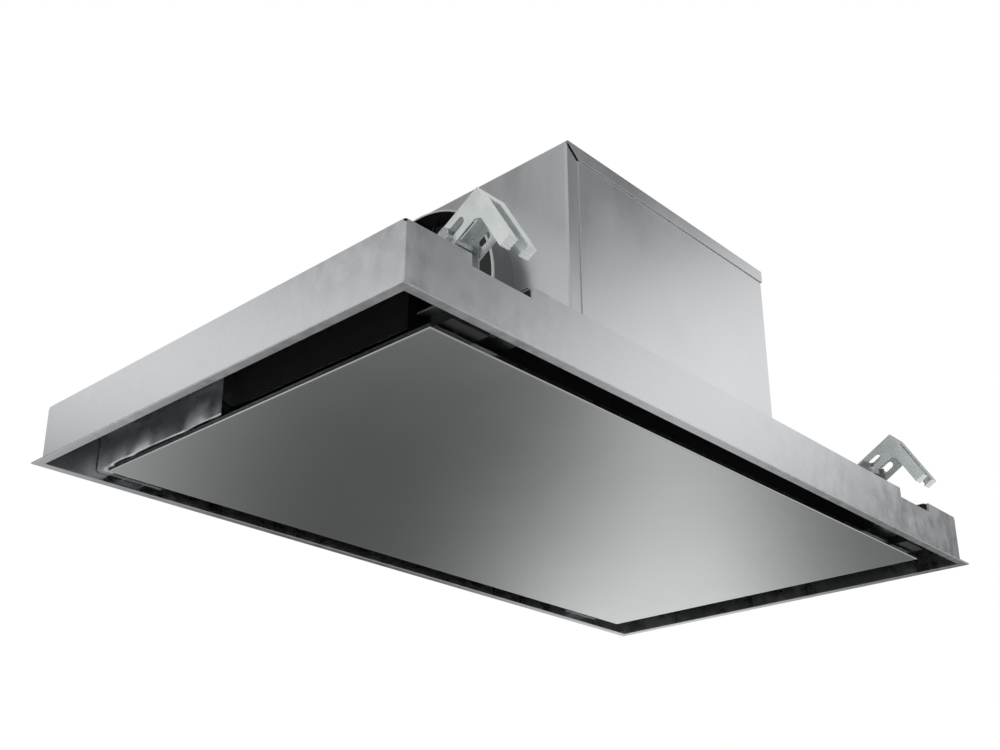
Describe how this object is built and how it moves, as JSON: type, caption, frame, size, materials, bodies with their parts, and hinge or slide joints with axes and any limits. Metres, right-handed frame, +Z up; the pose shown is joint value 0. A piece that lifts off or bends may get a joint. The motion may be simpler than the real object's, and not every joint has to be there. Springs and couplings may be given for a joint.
{
  "type": "ceiling range hood",
  "caption": "Rectangular ceiling-recessed range hood: folded frame with trim flange, hinged flat cover panel, square blower box with side duct collar and slotted ceiling clamps.",
  "frame": {"origin": "middle of the flange's lower face, the face that the room sees", "axes": "+X along the long side towards the end away from the duct collar, +Y to the hinge side, +Z up into the ceiling"},
  "size_m": [0.9, 0.528, 0.299],
  "materials": {
    "stainless": "fine brushed stainless sheet",
    "galvanised": "galvanised sheet",
    "zinc_clamp": "pale blue zinc plating",
    "panel": "satin-polished stainless sheet with folded edges",
    "board_core": "pressed board",
    "black_sheet": "matt black powder coat",
    "bright_steel": "bright zinc",
    "black_plastic": "moulded matt",
    "damper_plastic": "moulded matt",
    "collar_metal": "grey coated sheet",
    "filter_frame": "anodised satin",
    "filter_mesh": "bright mesh",
    "motor_body": "die cast",
    "rubber": "moulded",
    "board": "solder mask",
    "capacitor": "moulded case",
    "terminal": "moulded"
  },
  "bodies": {
    "frame": {"frame_front": "stainless", "frame_rear": "stainless", "frame_left": "stainless", "frame_right": "stainless", "control_cover": "stainless", "box_shell": "stainless", "outlet_plate": "stainless", "front_cover": "stainless", "lid": "stainless", "air_pan": "galvanised", "pan_end_l": "galvanised", "pan_end_r": "galvanised", "box_floor": "galvanised", "clamp_posts": "galvanised", "motor_bracket": "galvanised", "hinge_bracket_l": "galvanised", "hinge_bracket_r": "galvanised", "catch_bracket_l": "galvanised", "catch_bracket_r": "galvanised", "filter_housing": "black_sheet", "pan_rivets": "bright_steel", "hinge_pins": "bright_steel", "lid_screws": "bright_steel", "box_screws": "bright_steel", "damper_pin": "bright_steel", "motor_screws": "bright_steel", "post_rivets": "bright_steel", "clamp_bolts": "bright_steel", "catch_body_l": "black_plastic", "catch_body_r": "black_plastic", "fan_housing": "black_plastic", "inlet_ring": "black_plastic", "cable_gland": "black_plastic", "outlet_collar": "collar_metal", "filter_frame_l": "filter_frame", "filter_frame_r": "filter_frame", "filter_mesh_l": "filter_mesh", "filter_mesh_r": "filter_mesh", "motor": "motor_body", "rubber_bushes": "rubber", "control_board": "board", "capacitor": "capacitor", "terminal_block": "terminal"},
    "panel": {"cover_panel": "panel", "panel_core": "board_core", "panel_tray": "black_sheet", "hinge_arms": "galvanised", "strike_plates": "bright_steel"},
    "catch_plunger_l": {"catch_plunger_l": "bright_steel"},
    "catch_plunger_r": {"catch_plunger_r": "bright_steel"},
    "filter_catch_l": {"filter_catch_l": "black_plastic"},
    "filter_catch_r": {"filter_catch_r": "black_plastic"},
    "damper_flap_front": {"damper_flap_front": "damper_plastic"},
    "damper_flap_rear": {"damper_flap_rear": "damper_plastic"},
    "fan": {"fan_wheel": "black_plastic", "motor_shaft": "bright_steel"},
    "clamp_front_l": {"clamp_front_l": "zinc_clamp"},
    "clamp_front_r": {"clamp_front_r": "zinc_clamp"},
    "clamp_rear_l": {"clamp_rear_l": "zinc_clamp"},
    "clamp_rear_r": {"clamp_rear_r": "zinc_clamp"}
  },
  "joints": [
    {"name": "panel_hinge", "type": "hinge", "parent": "frame", "child": "panel", "pos_m": [0, 0.222, 0.014], "axis": [1, 0, 0], "range_deg": [0, 85]},
    {"name": "catch_push_l", "type": "slide", "parent": "frame", "child": "catch_plunger_l", "axis": [0, 0, 1], "range_m": [0, 0.004], "stiffness_N_per_m": 500, "springref_m": -0.002},
    {"name": "catch_push_r", "type": "slide", "parent": "frame", "child": "catch_plunger_r", "axis": [0, 0, 1], "range_m": [0, 0.004], "stiffness_N_per_m": 500, "springref_m": -0.002},
    {"name": "filter_release_l", "type": "slide", "parent": "frame", "child": "filter_catch_l", "axis": [0, 1, 0], "range_m": [0, 0.004], "stiffness_N_per_m": 300, "springref_m": -0.002},
    {"name": "filter_release_r", "type": "slide", "parent": "frame", "child": "filter_catch_r", "axis": [0, 1, 0], "range_m": [0, 0.004], "stiffness_N_per_m": 300, "springref_m": -0.002},
    {"name": "damper_front_swing", "type": "hinge", "parent": "frame", "child": "damper_flap_front", "pos_m": [-0.178, 0, 0.172], "axis": [0, 0, 1], "range_deg": [-75, 0], "stiffness_Nm_per_rad": 0.02},
    {"name": "damper_rear_swing", "type": "hinge", "parent": "frame", "child": "damper_flap_rear", "pos_m": [-0.178, 0, 0.172], "axis": [0, 0, 1], "range_deg": [0, 75], "stiffness_Nm_per_rad": 0.02},
    {"name": "fan_spin", "type": "hinge", "parent": "frame", "child": "fan", "pos_m": [0.015, -0.035, 0.15], "axis": [0, 0, 1], "continuous": true},
    {"name": "clamp_front_l_slide", "type": "slide", "parent": "frame", "child": "clamp_front_l", "axis": [0, 0.8616, -0.5075], "range_m": [-0.004, 0.016]},
    {"name": "clamp_front_r_slide", "type": "slide", "parent": "frame", "child": "clamp_front_r", "axis": [0, 0.8616, -0.5075], "range_m": [-0.004, 0.016]},
    {"name": "clamp_rear_l_slide", "type": "slide", "parent": "frame", "child": "clamp_rear_l", "axis": [0, -0.8616, -0.5075], "range_m": [-0.004, 0.016]},
    {"name": "clamp_rear_r_slide", "type": "slide", "parent": "frame", "child": "clamp_rear_r", "axis": [0, -0.8616, -0.5075], "range_m": [-0.004, 0.016]}
  ]
}
